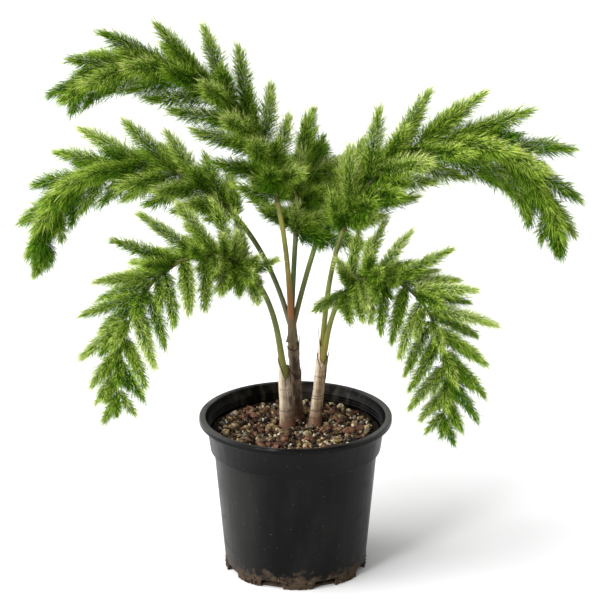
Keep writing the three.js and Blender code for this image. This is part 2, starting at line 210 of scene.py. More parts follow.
def cut_away(body, cutter):
    """Takes the cutter's shape out of the body's mesh, and removes the cutter."""
    cutting = body.modifiers.new("Notches", "BOOLEAN")
    cutting.operation = "DIFFERENCE"
    cutting.solver = "EXACT"
    cutting.object = cutter
    seen = body.evaluated_get(bpy.context.evaluated_depsgraph_get())
    whole = body.data
    body.data = bpy.data.meshes.new_from_object(seen)
    body.modifiers.clear()
    bpy.data.objects.remove(cutter)
    bpy.data.meshes.remove(whole)


class Value:
    """A socket's value in a node tree. Arithmetic on it adds the Math nodes that work the result out."""

    def __init__(self, nodes, socket):
        self.nodes = nodes
        self.socket = socket

    def worked_out(self, operation, first, second):
        return self.nodes.node("ShaderNodeMath", {"operation": operation}, {0: first, 1: second})

    def __add__(self, other):
        return self.worked_out("ADD", self, other)

    def __sub__(self, other):
        return self.worked_out("SUBTRACT", self, other)

    def __rsub__(self, other):
        return self.worked_out("SUBTRACT", other, self)

    def __mul__(self, other):
        return self.worked_out("MULTIPLY", self, other)

    __radd__ = __add__
    __rmul__ = __mul__

    def between(self, low, high):
        """0 at low, 1 at high and a smooth climb from one to the other."""
        climb = {"interpolation_type": "SMOOTHSTEP"}
        sockets = {"Value": self, "From Min": low, "From Max": high}
        return self.nodes.node("ShaderNodeMapRange", climb, sockets)


class Nodes:
    """A node tree, and the one way in which nodes are added to it."""

    def __init__(self, tree):
        self.tree = tree

    def feed(self, socket, value):
        if isinstance(value, Value):
            self.tree.links.new(value.socket, socket)
        else:
            socket.default_value = value

    def node(self, kind, settings, sockets, output=0):
        made = self.tree.nodes.new(kind)
        for name, value in settings.items():
            setattr(made, name, value)
        for name, value in sockets.items():
            self.feed(made.inputs[name], value)
        return Value(self, made.outputs[output])


class Finish(Nodes):
    """A material on one Principled shader, and the nodes that vary it over a piece."""

    def __init__(self, name, sockets):
        self.material = bpy.data.materials.new(name)
        self.material.use_nodes = True
        super().__init__(self.material.node_tree)
        self.set(sockets)

    def set(self, sockets):
        shader = self.tree.nodes["Principled BSDF"]
        for name, value in sockets.items():
            self.feed(shader.inputs[name], value)

    def place(self):
        return self.node("ShaderNodeTexCoord", {}, {}, "Object")

    def along(self, axis):
        """How far a place lies along an axis, in millimetres."""
        return self.node("ShaderNodeSeparateXYZ", {}, {0: self.place()}, axis) * (1 / MM)

    def cloud(self, size, detail=2.0, stretch=(1, 1, 1)):
        """Noise round 0.5 with lumps of a size in millimetres, drawn out along an axis by stretch."""
        scale = [1 / (size * MM * longer) for longer in stretch]
        where = self.node("ShaderNodeMapping", {}, {"Vector": self.place(), "Scale": scale})
        return self.node("ShaderNodeTexNoise", {}, {"Vector": where, "Scale": 1.0, "Detail": detail})

    def marks(self, size, detail, stretch, low, high):
        """The places where a cloud is thicker than low, up to 1 where it is thicker than high."""
        return self.cloud(size, detail, stretch).between(low, high)

    def stored(self, name):
        """A number kept on the piece's own vertices."""
        return self.node("ShaderNodeAttribute", {"attribute_name": name}, {}, "Fac")

    def blend(self, share, low, high):
        """A colour from low at a share of 0 to high at 1, each a display colour or another blend."""
        factor, first, second, result = 0, 6, 7, 2
        low, high = (colour if isinstance(colour, Value) else tint(*colour) for colour in (low, high))
        sockets = {factor: share, first: low, second: high}
        return self.node("ShaderNodeMix", {"data_type": "RGBA"}, sockets, result)

    def relief(self, height, depth):
        """Surface relief from a height of 0 to 1 that stands for a depth in millimetres."""
        bump = self.node("ShaderNodeBump", {}, {"Strength": 1.0, "Distance": depth * MM, "Height": height})
        self.set({"Normal": bump})


def tint(red, green, blue):
    """A display colour of 0 to 255 as the linear colour that a socket takes."""
    shares = [part / 255 for part in (red, green, blue)]
    linear = [part / 12.92 if part <= 0.04045 else ((part + 0.055) / 1.055) ** 2.4 for part in shares]
    return (*linear, 1.0)


def pot_plastic():
    finish = Finish("pot_plastic", {"Specular IOR Level": 0.11})
    dust, runs, specks, scuffs = (finish.marks(*mark) for mark in POT_MARKS)
    grain = finish.cloud(1.6, 2.0)
    crust = finish.cloud(8, 8.0, (1.4, 1.4, 1))
    height = finish.along("Z")
    to_right = finish.along("X") * (1 / LIP_RADIUS)
    to_back = finish.along("Y") * (1 / LIP_RADIUS)
    # painted shade: on the band under the lip, the dust and the painted highlight fall to a fifth, so the
    # band reads darker as in the lip's shadow
    clear_of_lip_shade = 1 - height.between(BODY_TOP[1], BAND_FOOT[1]) * 0.8
    # painted highlight: the left side is blended towards a paler grey, as if lit from that side
    lit_side_highlight = (0 - to_right).between(0.15, 1.0) * clear_of_lip_shade
    splashed = runs * to_back.between(0.3, 0.8) * height.between(MIX_TOP - 4, MIX_TOP + 3)
    # painted highlight: the lip's top is paler towards its left and right ends, mixed with real scuffs
    lip_side_highlight = (to_right * to_right).between(0.2, 0.75)
    scuffed_and_lit_lip = height.between(POT_HEIGHT - 3, POT_HEIGHT - 0.4) * (scuffs * 0.4 + lip_side_highlight * 0.6)
    soil = (crust * 2.6 - height * 0.032).between(0.45, 1.15)
    soil_colour = finish.blend(grain, *POT_SOIL)
    # dust, held back on the band as painted shade under the lip
    colour = finish.blend((dust * 0.75 + runs * 0.25) * clear_of_lip_shade, POT_BLACK, POT_DUST)
    # painted highlight on the lit left side
    colour = finish.blend(lit_side_highlight * 0.8, colour, POT_LIT_SIDE)
    colour = finish.blend(splashed * 0.35, colour, POT_SPLASH)
    # scuffs and painted highlight on the lip's top
    colour = finish.blend(scuffed_and_lit_lip, colour, POT_SCUFF_AND_HIGHLIGHT)
    colour = finish.blend(specks * 0.5, colour, POT_SPECK)
    colour = finish.blend(soil * 0.85, colour, soil_colour)
    finish.set({"Base Color": colour, "Roughness": 0.32 + dust * 0.16 + scuffs * 0.08 + soil * 0.4})
    finish.relief(grain * 0.3 + runs * 0.3 + soil * crust * 3, 0.5)
    return finish


plastic = pot_plastic()
pot = piece("moulded_pot", turned(pot_profile(), POT_STEPS), plastic)
cut_away(pot, piece("notch_cutters", notch_cutters(), plastic))
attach(pot, "root")
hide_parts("pot")


# Potting mix: damp ground bark that fills the pot to a finger's width below its lip, uneven on top and cut
# back from the drain notches. The stems stand in it.
MIX_GAP = 0.4
MIX_NOTCH_CLEAR = 14
MIX_STEPS = 120
MIX_RING = 3
MIX_SHOULDER = MIX_TOP - 4
MIX_CHAMFER = 1
MIX_SETTLED = 1.5
MIX_SWELLS = ((26, 2.4), (9, 1.6), (4, 0.9))
MIX_CRUMBS = ((10, 7, 5), (58, 41, 28))
MIX_LUMPS = (50, 34, 22)


def mix_level(x, y):
    """The height of the mix's uneven top."""
    swell = sum(depth * noise.noise(Vector((x / size, y / size, size))) for size, depth in MIX_SWELLS)
    return MIX_TOP - MIX_SETTLED + swell


def mix_body():
    low = POT_FLOOR + MIX_GAP
    profile = [(0, low), (pot_wall_inside(MIX_NOTCH_CLEAR) - MIX_GAP - MIX_NOTCH_CLEAR, low)]
    for height in (MIX_NOTCH_CLEAR, BODY_TOP[1], BAND_FOOT[1], MIX_SHOULDER):
        profile.append((pot_wall_inside(height) - MIX_GAP, height))
    edge = pot_wall_inside(MIX_SHOULDER) - MIX_GAP - MIX_CHAMFER
    profile += [(radius, MIX_TOP) for radius in np.arange(edge, 0, -MIX_RING)] + [(0, MIX_TOP)]
    bm = turned(profile, MIX_STEPS)
    for vertex in bm.verts:
        if vertex.co.z > MIX_SHOULDER + MIX_CHAMFER:
            vertex.co.z = mix_level(vertex.co.x, vertex.co.y)
    return bm


def mix_finish():
    finish = Finish("damp_bark", {"Roughness": 0.95, "Specular IOR Level": 0.2})
    crumbs = finish.cloud(3, 4.0)
    lumps = finish.cloud(11, 3.0)
    colour = finish.blend(crumbs.between(0.35, 0.7), *MIX_CRUMBS)
    finish.set({"Base Color": finish.blend(lumps.between(0.45, 0.7) * 0.6, colour, MIX_LUMPS)})
    finish.relief(crumbs, 2.0)
    return finish


mix = piece("bark_mix", mix_body(), mix_finish(), sharp=180)
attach(mix, "root")
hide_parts("potting_mix")


# Chips, grit and perlite: what the mix's top is strewn with. Bark comes in flat angular flakes and a few
# large nuggets, the grit is rounded gravel, perlite is the white grains, and dry straws lie among them.
# Crumbs of the same damp bark have dried on to the foot of the pot's wall as a crust.
STEM_FEET = {"left": (-12.5, 17), "middle": (3, 50), "right": (27.5, 20)}
STEM_CLEAR = {"left": 14, "middle": 12, "right": 13}
FLAKE_SIZE = 1.6
FLAKE_CORNER = 0.22
STREWN_REACH = 121
STREWN_STRAY = 1.4
STREWN_CLEAR = 0.6
STREWN_FORMS = 0.25
STREWN_FORM_LIMIT = 1.5
STREWN_HEAP = 0.35
GOLDEN_ANGLE = math.pi * (3 - math.sqrt(5))


def small_shape(bm):
    """Corners and triangles of a bmesh, as arrays."""
    bmesh.ops.triangulate(bm, faces=bm.faces)
    bm.verts.index_update()
    corners = np.array([vertex.co for vertex in bm.verts])
    faces = np.array([[vertex.index for vertex in face.verts] for face in bm.faces])
    bm.free()
    return corners, faces


def flake():
    """An angular block whose edges are knocked off."""
    bm = bmesh.new()
    bmesh.ops.create_cube(bm, size=FLAKE_SIZE)
    bmesh.ops.bevel(
        bm, geom=bm.edges[:], offset=FLAKE_CORNER, segments=1, profile=0.5, affect="EDGES", material=-1
    )
    return small_shape(bm)


def pebble():
    bm = bmesh.new()
    bmesh.ops.create_icosphere(bm, subdivisions=2, radius=1)
    return small_shape(bm)


def turned_copies(copies, yaw, pitch, roll):
    """The corners of copies of a shape, each copy turned by its own angles."""
    cy, cp, cr = np.cos(yaw), np.cos(pitch), np.cos(roll)
    sy, sp, sr = np.sin(yaw), np.sin(pitch), np.sin(roll)
    rows = [
        [cy * cp, cy * sp * sr - sy * cr, cy * sp * cr + sy * sr],
        [sy * cp, sy * sp * sr + cy * cr, sy * sp * cr - cy * sr],
        [-sp, cp * sr, cp * cr],
    ]
    return np.einsum("ijn,nkj->nki", np.array(rows), copies)


def repeated(faces, corner_count, copies):
    """A shape's triangles for each of its copies, whose corners follow one another."""
    return (faces[None] + np.arange(copies)[:, None, None] * corner_count).reshape(-1, 3)


def strewn(shape, count, sizes, form, rough, tilt, sunk, seed, finishes, shares):
    """Copies of a shape over the mix, each turned, sized and finished in its own way."""
    corners, faces = shape
    rng = np.random.default_rng(seed)
    order = np.arange(count)
    reach = (STREWN_REACH - sizes[1]) * np.sqrt((order + 0.5) / count)
    angle = order * GOLDEN_ANGLE + rng.random(count) * STREWN_STRAY + seed
    x, y = reach * np.cos(angle), reach * np.sin(angle)
    size = mixed(*sizes, rng.random(count) ** 2)
    kept = np.ones(count, bool)
    for stem, (foot_x, foot_y) in STEM_FEET.items():
        kept &= np.hypot(x - foot_x, y - foot_y) > STEM_CLEAR[stem] + size * STREWN_CLEAR
    x, y, size = x[kept], y[kept], size[kept]
    count = len(size)
    level = np.array([mix_level(*place) for place in zip(x, y)])
    uneven = 1 + rough * rng.normal(0, 1, (count, len(corners), 3))
    varied = rng.normal(0, 1, (count, 3)).clip(-STREWN_FORM_LIMIT, STREWN_FORM_LIMIT)
    spread = np.array(form) * (1 + STREWN_FORMS * varied)
    local = corners * uneven * spread[:, None] * size[:, None, None] / 2
    pitch, roll = rng.normal(0, tilt, (2, count))
    local = turned_copies(local, rng.random(count) * math.tau, pitch, roll)
    rise = level + size * (0.5 * form[2] - sunk) + rng.random(count) * size * STREWN_HEAP
    places = local + np.stack([x, y, rise], axis=1)[:, None]
    tints = np.repeat(rng.choice(len(finishes), count, p=shares), len(faces))
    return places.reshape(-1, 3), repeated(faces, len(corners), count), finishes, tints


def joined_piece(name, corners, faces, finishes, tints, smooth=False):
    """One object from arrays of corners in millimetres, triangles and each triangle's finish."""
    mesh = bpy.data.meshes.new(name)
    mesh.vertices.add(len(corners))
    mesh.vertices.foreach_set("co", np.asarray(corners * MM, np.float32).ravel())
    mesh.loops.add(faces.size)
    mesh.loops.foreach_set("vertex_index", faces.astype(np.int32).ravel())
    mesh.polygons.add(len(faces))
    mesh.polygons.foreach_set("loop_start", np.arange(0, faces.size, 3, dtype=np.int32))
    for finish in finishes:
        mesh.materials.append(finish.material)
    mesh.polygons.foreach_set("material_index", np.asarray(tints, np.int32))
    mesh.update(calc_edges=True)
    mesh.validate()
    if smooth:
        mesh.shade_smooth()
    return placed(name, mesh)


def chip_finish(name, dark, light, size, rough):
    finish = Finish(name, {"Roughness": rough, "Specular IOR Level": 0.25})
    grain = finish.cloud(size, 4.0)
    finish.set({"Base Color": finish.blend(grain.between(0.36, 0.66), dark, light)})
    finish.relief(grain, 0.8)
    return finish


FLAKE, PEBBLE = flake(), pebble()
BARK = [
    chip_finish("bark_red", (72, 46, 34), (138, 98, 76), 5, 0.85),
    chip_finish("bark_brown", (46, 32, 22), (108, 82, 60), 5, 0.85),
    chip_finish("bark_dark", (20, 14, 10), (58, 42, 30), 5, 0.85),
    chip_finish("bark_tan", (98, 76, 54), (160, 132, 98), 5, 0.85),
]
GRIT = [
    chip_finish("grit_tan", (122, 100, 68), (182, 158, 118), 4, 0.7),
    chip_finish("grit_cream", (166, 149, 114), (224, 208, 176), 4, 0.7),
    chip_finish("grit_grey", (72, 69, 62), (140, 135, 124), 4, 0.7),
    chip_finish("grit_olive", (86, 76, 42), (150, 136, 82), 4, 0.7),
]
PERLITE = [chip_finish("perlite_white", (166, 160, 148), (222, 220, 212), 2, 0.9)]
STREWN = {
    # shape, count, least and greatest length, shares of that along, across and up, how far shape and lie
    # vary, share of the length that lies in the mix, seed, finishes and how many take each of them
    "bark_crumbs": (FLAKE, 1500, (3, 7), (1, 0.7, 0.45), 0.24, 0.6, 0.1, 3, BARK, (0.12, 0.26, 0.46, 0.16)),
    "bark_flakes": (FLAKE, 460, (8, 16), (1, 0.7, 0.36), 0.24, 0.6, 0.05, 4, BARK, (0.26, 0.32, 0.24, 0.18)),
    "bark_nuggets": (
        PEBBLE, 12, (14, 21), (1, 0.86, 0.5), 0.05, 0.3, -0.05, 7, BARK, (0.66, 0.26, 0.04, 0.04)
    ),
    "grit_stones": (FLAKE, 430, (4, 10), (1, 0.86, 0.7), 0.2, 0.6, -0.05, 5, GRIT, (0.42, 0.26, 0.2, 0.12)),
    "grit_pebbles": (PEBBLE, 90, (4, 8), (1, 0.84, 0.7), 0.05, 0.5, -0.05, 9, GRIT, (0.4, 0.3, 0.2, 0.1)),
    "perlite_grains": (PEBBLE, 60, (3, 6), (1, 0.9, 0.8), 0.07, 0.6, -0.1, 6, PERLITE, (1.0,)),
    "dry_straws": (FLAKE, 30, (18, 34), (1, 0.05, 0.04), 0.06, 0.2, -0.12, 8, BARK, (0.1, 0.3, 0.1, 0.5)),
}
CRUST_COUNT = 1000
CRUST_SEED = 21
CRUST_TOP = 22
CRUST_SIZES = (1.6, 6)
CRUST_ROUGH = 0.2
CRUST_COVER = 0.45
CRUST_PATCHES = 0.8
CRUST_PATCH_PLACE = (3, 4.0)
CRUST_SOILS = (0.75, 0.25)


def foot_crust():
    """Crumbs of damp soil stuck to the pot's wall, thickest at its foot and in patches round it."""
    corners, faces = FLAKE
    rng = np.random.default_rng(CRUST_SEED)
    azimuth = rng.random(CRUST_COUNT) * math.tau
    height = CRUST_TOP * rng.random(CRUST_COUNT) ** 2
    size = mixed(*CRUST_SIZES, rng.random(CRUST_COUNT) ** 2)
    reach, level = CRUST_PATCH_PLACE
    patch = [noise.noise(Vector((math.cos(a) * reach, math.sin(a) * reach, level))) for a in azimuth]
    kept = height < CRUST_TOP * (CRUST_COVER + CRUST_PATCHES * np.array(patch))
    past_notch = (np.degrees(azimuth) - NOTCH_AZIMUTH) % (360 / NOTCH_COUNT)
    beside = np.minimum(past_notch, 360 / NOTCH_COUNT - past_notch)
    kept &= (np.radians(beside) * POT_BASE > NOTCH_SIZE[1] / 2) | (height > NOTCH_SIZE[2] / 2 + 1)
    azimuth, height, size = azimuth[kept], height[kept], size[kept]
    count = len(size)
    uneven = 1 + CRUST_ROUGH * rng.normal(0, 1, (count, len(corners), 3))
    local = turned_copies(corners * uneven * size[:, None, None] / 3, *(rng.random((3, count)) * math.tau))
    wall = pot_wall_outside(height)
    places = np.stack([wall * np.cos(azimuth), wall * np.sin(azimuth), height], axis=1)[:, None] + local
    places[..., 2] = np.maximum(places[..., 2], 0)
    soils = np.repeat(rng.choice(2, count, p=CRUST_SOILS), len(faces))
    tops = repeated(faces, len(corners), count)
    return joined_piece("foot_crust", places.reshape(-1, 3), tops, BARK[1:3], soils)


crust = foot_crust()
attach(crust, "root")
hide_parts("pot")
for name, scatter in STREWN.items():
    bits = joined_piece(name, *strewn(*scatter), smooth=scatter[0] is PEBBLE)
    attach(bits, "root")
    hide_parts("potting_mix")


# Stems: three young palm trunks from one root, ringed by the scars of fallen leaves. Their fibrous bark is
# brown at the foot and carries a painted highlight, paler on the side towards the light. The dry feet of old
# leaves wrap them as thin sheaths, torn to a V where a leaf pulled away, and above the V a stem draws in to
# the green feet of the leaves it carries.
MIX_FACE = 209.3
STEM_STEPS = 44
STEM_RING = 0.9
STEM_CAP = (0.6, 0.2)
FLARE_RADIUS = 1.6
FLARE_HEIGHT = 6
FIBRES = ((0.2, 5, 16), (0.14, 13, 9))
FLAKES = (2.4, 8)
FLAKE_STEP = 0.5
FLAKE_DEPTH = 0.3
FLAKED_TO = 80
FLAKED_ABOVE = 0.3
SCAR_PATH = (1.5, 1)
SCAR_WANDER = 1.8
SCAR_SWELLING = (1.3, 1.6)
SCAR_GROOVE = 0.7
SCAR_RISE = 0.35
SCAR_DEPTH = 0.4
SHEATH_LIE = 0.25
SHEATH_WALL = 0.5
SHEATH_SUNK = 0.3
SHEATH_FLARE = 3
SHEATH_STEPS = 72
SHEATH_ROWS = 18
SHEATH_TEAR = (9, 1)
SHEATH_JAG = 1.6
SHEATH_WAVES = (6, 14)
SHEATH_WAVE_DEPTH = 0.2
SHEATH_SCAR_DEPTH = 0.3
TORN_DEPTH = (3, 10)
# The painted highlight on each stem's lit side: the azimuth it faces, how narrowly it falls off, and its
# pale colour.
LIT_SIDE_AZIMUTH = 212
LIT_SIDE_EDGE = 7
BARK_PAINTED_HIGHLIGHT = (238, 220, 194)
BARK_STAINED = (104, 66, 44)
SCAR_LINE = (66, 47, 34)
TORN_EDGE = (50, 33, 24)
STEMS = {
    # top of the axis, rise and leaf scars, then the radii at the foot, where the stem begins to draw in and
    # above, with the heights of both, then dark and light bark, colour of the top, how much the bark flakes,
    # and how strong the painted highlight on its lit side is
    "left": dict(
        top=(-16, 19), rise=92, scars=(25, 58), radii=(10.6, 9.1, 6.0), drawn=(70, 96),
        bark=((88, 69, 52), (178, 160, 138)), top_colour=(88, 92, 34), flaking=0.1, painted_highlight_strength=1.0,
    ),
    "middle": dict(
        top=(-6, 46), rise=159, scars=(40, 109), radii=(8.6, 7.9, 6.2), drawn=(112, 152),
        bark=((74, 58, 45), (164, 144, 122)), top_colour=(104, 90, 58), flaking=1.0, painted_highlight_strength=0.2,
    ),
    "right": dict(
        top=(41, 27), rise=121, scars=(13, 24, 42, 46, 56, 76), radii=(9.2, 7.7, 6.0), drawn=(88, 112),
        bark=((100, 78, 55), (190, 168, 136)), top_colour=(122, 114, 42), flaking=0.1, painted_highlight_strength=1.0,
    ),
}
SHEATHS = {
    # height of the foot, how far the tips stand off, and the top edge as azimuths in degrees and heights,
    # with straight tears between them
    "left": ((34, 3.4, ((140, 92), (196, 107), (276, 73), (342, 94), (60, 84))),),
    "middle": (
        (36, 1.6, ((150, 62), (236, 77), (300, 64), (340, 70), (2, 82), (24, 68), (90, 64))),
        (92, 2.6, ((100, 111), (200, 112), (280, 108), (322, 113), (346, 132), (8, 112))),
    ),
    "right": (
        (52, 2.4, ((90, 98), (186, 112), (272, 88), (352, 116), (30, 96))),
        (86, 1.6, ((60, 108), (150, 110), (194, 149), (240, 104), (300, 94), (0, 100))),
    ),
}


def stem_middle(side, height):
    """The axis of a stem at a height above the mix, and its radius there."""
    stem = STEMS[side]
    share = height / stem["rise"]
    x, y = (mixed(low, high, share) for low, high in zip(STEM_FEET[side], stem["top"]))
    radius = np.interp(height, (0, *stem["drawn"]), stem["radii"])
    return x, y, radius + FLARE_RADIUS * math.exp(-height / FLARE_HEIGHT)


def bark_noise(around, height, fineness, length, start):
    """Noise on a stem, by its fineness round it, its length along it and where in the noise it starts."""
    return noise.noise(Vector((around.x * fineness, around.y * fineness, height / length + start)))


def scar_relief(stem, around, height):
    """How far a place lies on the swelling under a leaf scar, and how far in the scar's groove."""
    wander = SCAR_WANDER * bark_noise(around, 0, *SCAR_PATH, stem["rise"])
    below, width = SCAR_SWELLING
    away = height - wander - np.array(stem["scars"])
    return np.exp(-((away + below) ** 2) / width).sum(), np.exp(-(away**2) / SCAR_GROOVE).sum()


def lit_side_share(around):
    """How far a direction from a stem's axis points to the lit side, where a painted highlight goes."""
    angle = math.atan2(around.y, around.x)
    return max(0, math.cos(angle - math.radians(LIT_SIDE_AZIMUTH))) ** LIT_SIDE_EDGE


def bark_layers(bm):
    """The numbers that a stem's vertices keep for its finish."""
    return {name: bm.verts.layers.float.new(name) for name in ("scar", "torn", "sheath", "painted_highlight")}


def stem_body(side):
    """A turned rod, leant along the stem's axis and then given its ring scars and fibrous bark."""
    stem = STEMS[side]
    rise = stem["rise"]
    cap_share, cap_rise = STEM_CAP
    rings = np.linspace(0, rise, round(rise / STEM_RING))
    cap = [(cap_share, rise + cap_rise), (0, rise + cap_rise)]
    bm = turned([(0, 0), *((1, height) for height in rings), *cap], STEM_STEPS)
    layers = bark_layers(bm)
    for vertex in bm.verts:
        height = vertex.co.z
        x, y, radius = stem_middle(side, height)
        around = Vector((vertex.co.x, vertex.co.y, 0))
        flakes = bark_noise(around, height, *FLAKES, -rise)
        flaked = FLAKE_STEP * round(flakes * 2) + FLAKE_DEPTH * flakes
        flaked *= 1 if height < FLAKED_TO else FLAKED_ABOVE
        ridge, groove = scar_relief(stem, around, height)
        relief = sum(depth * bark_noise(around, height, *fibre, rise) for depth, *fibre in FIBRES)
        relief += SCAR_RISE * ridge - SCAR_DEPTH * groove + stem["flaking"] * flaked
        vertex[layers["scar"]] = groove
        # painted highlight: how far this place faces the lit side
        vertex[layers["painted_highlight"]] = lit_side_share(around)
        reach = (radius + relief) * around.length
        around.normalize()
        vertex.co = (x + around.x * reach, y + around.y * reach, MIX_FACE + height)
    return bm


def add_sheath(bm, side, foot, stand, edge):
    """A thin turned shell that hugs the stem and ends above in a torn edge."""
    stem = STEMS[side]
    outside = [(1, row / SHEATH_ROWS) for row in range(SHEATH_ROWS + 1)]
    inside = [(0.5, row / SHEATH_ROWS) for row in range(SHEATH_ROWS, -1, -1)]
    shell = turned([*outside, *inside, outside[0]], SHEATH_STEPS)
    layers = bark_layers(shell)
    azimuths, heights = zip(*edge)
    lowest, tallest = min(heights), max(heights)
    for vertex in shell.verts:
        share = vertex.co.z
        angle = math.atan2(vertex.co.y, vertex.co.x)
        wall = SHEATH_WALL if math.hypot(vertex.co.x, vertex.co.y) > 0.75 else 0
        around = Vector((math.cos(angle), math.sin(angle), 0))
        top = np.interp(math.degrees(angle), azimuths, heights, period=360)
        top += SHEATH_JAG * bark_noise(around, 0, *SHEATH_TEAR, foot)
        height = mixed(foot, top, share)
        x, y, radius = stem_middle(side, min(height, stem["rise"]))
        ridge, groove = scar_relief(stem, around, height)
        reach = radius - SHEATH_SUNK + (SHEATH_SUNK + SHEATH_LIE + wall) * min(1, share * SHEATH_FLARE)
        reach += SHEATH_WAVE_DEPTH * bark_noise(around, height, *SHEATH_WAVES, 0)
        reach += stand * max(0, (height - lowest) / (tallest - lowest))
        reach += SCAR_RISE * ridge - SHEATH_SCAR_DEPTH * groove
        point = max(0, (top - lowest) / (tallest - lowest))
        vertex[layers["scar"]] = groove
        vertex[layers["torn"]] = max(0, 1 - (1 - share) * (top - foot) / mixed(*TORN_DEPTH, point**2))
        vertex[layers["sheath"]] = 1
        # painted highlight: how far this place faces the lit side
        vertex[layers["painted_highlight"]] = lit_side_share(around)
        vertex.co = (x + reach * around.x, y + reach * around.y, MIX_FACE + height)
    part = bpy.data.meshes.new("sheath_shell")
    shell.to_mesh(part)
    shell.free()
    bm.from_mesh(part)
    bpy.data.meshes.remove(part)


def bark(side):
    """Fibrous bark with thin dark ring lines and torn edges, browner at the foot, green at the top, and a
    painted highlight on its lit side.
    """
    stem = STEMS[side]
    dark, light = stem["bark"]
    green_from = stem["drawn"][0]
    finish = Finish(f"bark_of_{side}_stem", {"Specular IOR Level": 0.25})
    height = finish.along("Z") - MIX_FACE
    fibres = finish.cloud(1.5, 4.0, (1, 1, 14))
    blotches = finish.cloud(9, 4.0, (1, 1, 2.6))
    bands = finish.cloud(9, 2.0, (8, 8, 0.7))
    worn = fibres * 0.35 + blotches * 0.6 + bands * 0.2 - stem["flaking"] * 0.05
    # painted highlight on the lit side, streaked by the fibres
    painted_highlight = finish.stored("painted_highlight") * (0.4 + fibres * 0.9) * stem["painted_highlight_strength"]
    stained = (1 - height.between(2, 40)) * blotches.between(0.2, 0.55)
    green = height.between(green_from - 2, green_from + 6) * (1 - finish.stored("sheath"))
    scarred = finish.stored("scar").between(0.1, 0.8)
    torn = finish.stored("torn").between(0.2, 0.7)
    colour = finish.blend(worn.between(0.42, 0.74), dark, light)
    # paler colour of the painted highlight on the lit side
    colour = finish.blend(painted_highlight, colour, BARK_PAINTED_HIGHLIGHT)
    colour = finish.blend(stained * 0.9, colour, BARK_STAINED)
    colour = finish.blend(green * 0.9, colour, stem["top_colour"])
    colour = finish.blend(scarred * 0.7, colour, SCAR_LINE)
    colour = finish.blend(torn * 0.9, colour, TORN_EDGE)
    finish.set({"Base Color": colour, "Roughness": 0.62 + fibres * 0.3})
    finish.relief(fibres * 0.6 + blotches * 0.5, 0.5)
    return finish


for side in STEMS:
    body = stem_body(side)
    for sheath in SHEATHS[side]:
        add_sheath(body, side, *sheath)
    trunk = piece(f"ringed_stem_{side}", body, bark(side), sharp=60)
    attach(trunk, "root")
    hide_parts(f"stem_{side}")


# Leaf stalks: seven smooth green limbs that climb out of the stems' tops and arch outwards, each channelled
# along its upper side, swollen where it clasps the stem, and tinged yellow or orange at the foot.
STALK_END = 3.8
STALK_STEPS = 20
STALK_RING = 3
STALK_CHANNEL = 0.22
STALK_GAP = 0.3
STALK_STRIPE = (66, 62, 26)
STALK_RIPENS = 1.24
CLASP_SWELL = 0.12
CLASP_LENGTH = 16
CLASP_DEPTH = {"left": 22, "middle": 42, "right": 34}
LEAVES = {
    # the stem that carries the leaf, where its stalk stands on that, the azimuth that it grows to, its slope
    # at the foot and at the tip, the share of its length where it bends over and how sharply, its length,
    # how much of that is bare, the stalk's radius, and its colours in the stem, at the foot and above
    "left_low": dict(
        stem="left", stand=(-2.5, -1), azimuth=212, climb=82, fall=-87, bend=0.51, snap=1.63,
        length=530, bare=158, stalk=5.5, colours=((92, 94, 36), (112, 110, 46), (88, 96, 40)),
    ),
    "left_top": dict(
        stem="middle", stand=(-0.4, -5), azimuth=188, climb=87.5, fall=-38, bend=0.72, snap=1.35,
        length=594, bare=178, stalk=5.0, colours=((112, 92, 58), (150, 88, 34), (112, 110, 48)),
    ),
    "left_mid": dict(
        stem="middle", stand=(-5.9, 2), azimuth=158, climb=72, fall=-84, bend=0.58, snap=1.2,
        length=588, bare=160, stalk=3.9, colours=((116, 120, 86), (118, 122, 84), (70, 80, 36)),
    ),
    "back": dict(
        stem="middle", stand=(0.5, 5.7), azimuth=80, climb=76, fall=-65, bend=0.52, snap=2.2,
        length=450, bare=112, stalk=3.6, colours=((92, 84, 54), (96, 96, 58), (72, 84, 40)),
    ),
    "back_right": dict(
        stem="middle", stand=(6.3, -0.2), azimuth=55, climb=64, fall=-10, bend=0.7, snap=1.6,
        length=290, bare=145, stalk=3.8, colours=((98, 86, 56), (92, 94, 52), (96, 108, 48)),
    ),
    "right_top": dict(
        stem="right", stand=(-2.1, 3.7), azimuth=6, climb=86, fall=-75, bend=0.61, snap=1.56,
        length=632, bare=175, stalk=4.8, colours=((116, 112, 38), (128, 124, 42), (96, 104, 44)),
    ),
    "right_low": dict(
        stem="right", stand=(2.1, -3.7), azimuth=-32, climb=79, fall=-94, bend=0.43, snap=1.7,
        length=428, bare=92, stalk=4.3, colours=((126, 114, 38), (124, 120, 42), (98, 104, 46)),
    ),
}


